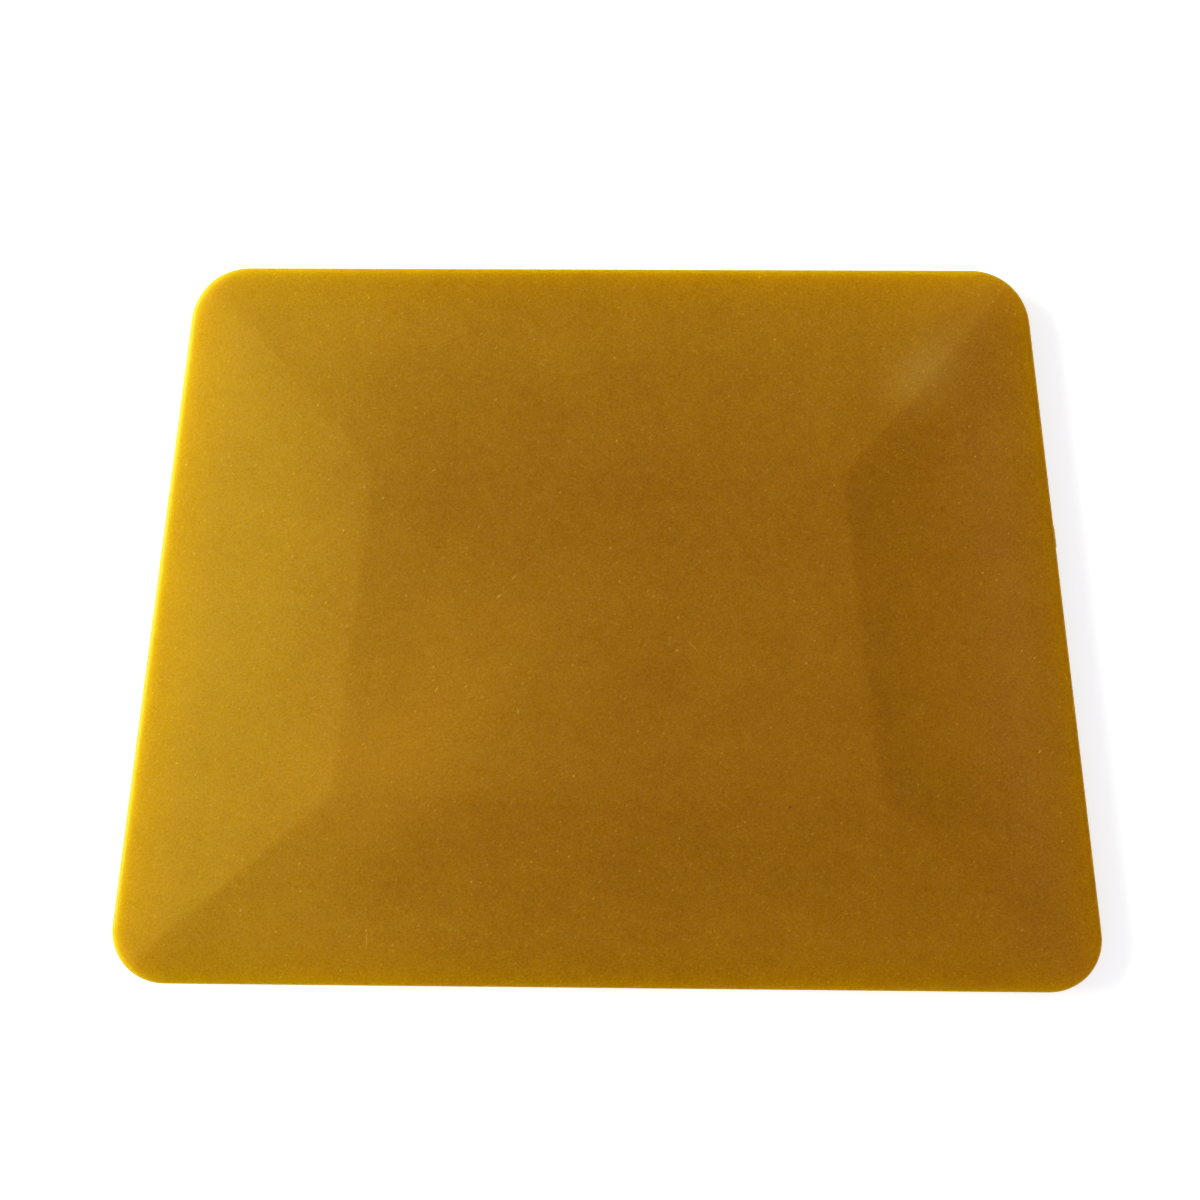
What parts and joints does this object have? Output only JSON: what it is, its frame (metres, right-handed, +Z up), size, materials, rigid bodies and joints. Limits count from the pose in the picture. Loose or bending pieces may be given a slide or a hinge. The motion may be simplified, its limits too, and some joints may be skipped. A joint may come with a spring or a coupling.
{
  "type": "squeegee applicator",
  "caption": "Hard card squeegee for pressing down vinyl film: a trapezoid with rounded corners, bevelled on both faces from a flat raised panel to a thin rim.",
  "frame": {"origin": "in the plane of the lower flat panel, under the middle of the card's outline", "axes": "+X along the long working edge, +Y from the long edge towards the short edge, +Z up through the thickness"},
  "size_m": [0.1, 0.0726, 0.005],
  "materials": {
    "card_plastic": "satin moulded, fine even grain, slightly translucent at the thin rim"
  },
  "bodies": {
    "root": {"squeegee_card": "card_plastic"}
  },
  "joints": []
}
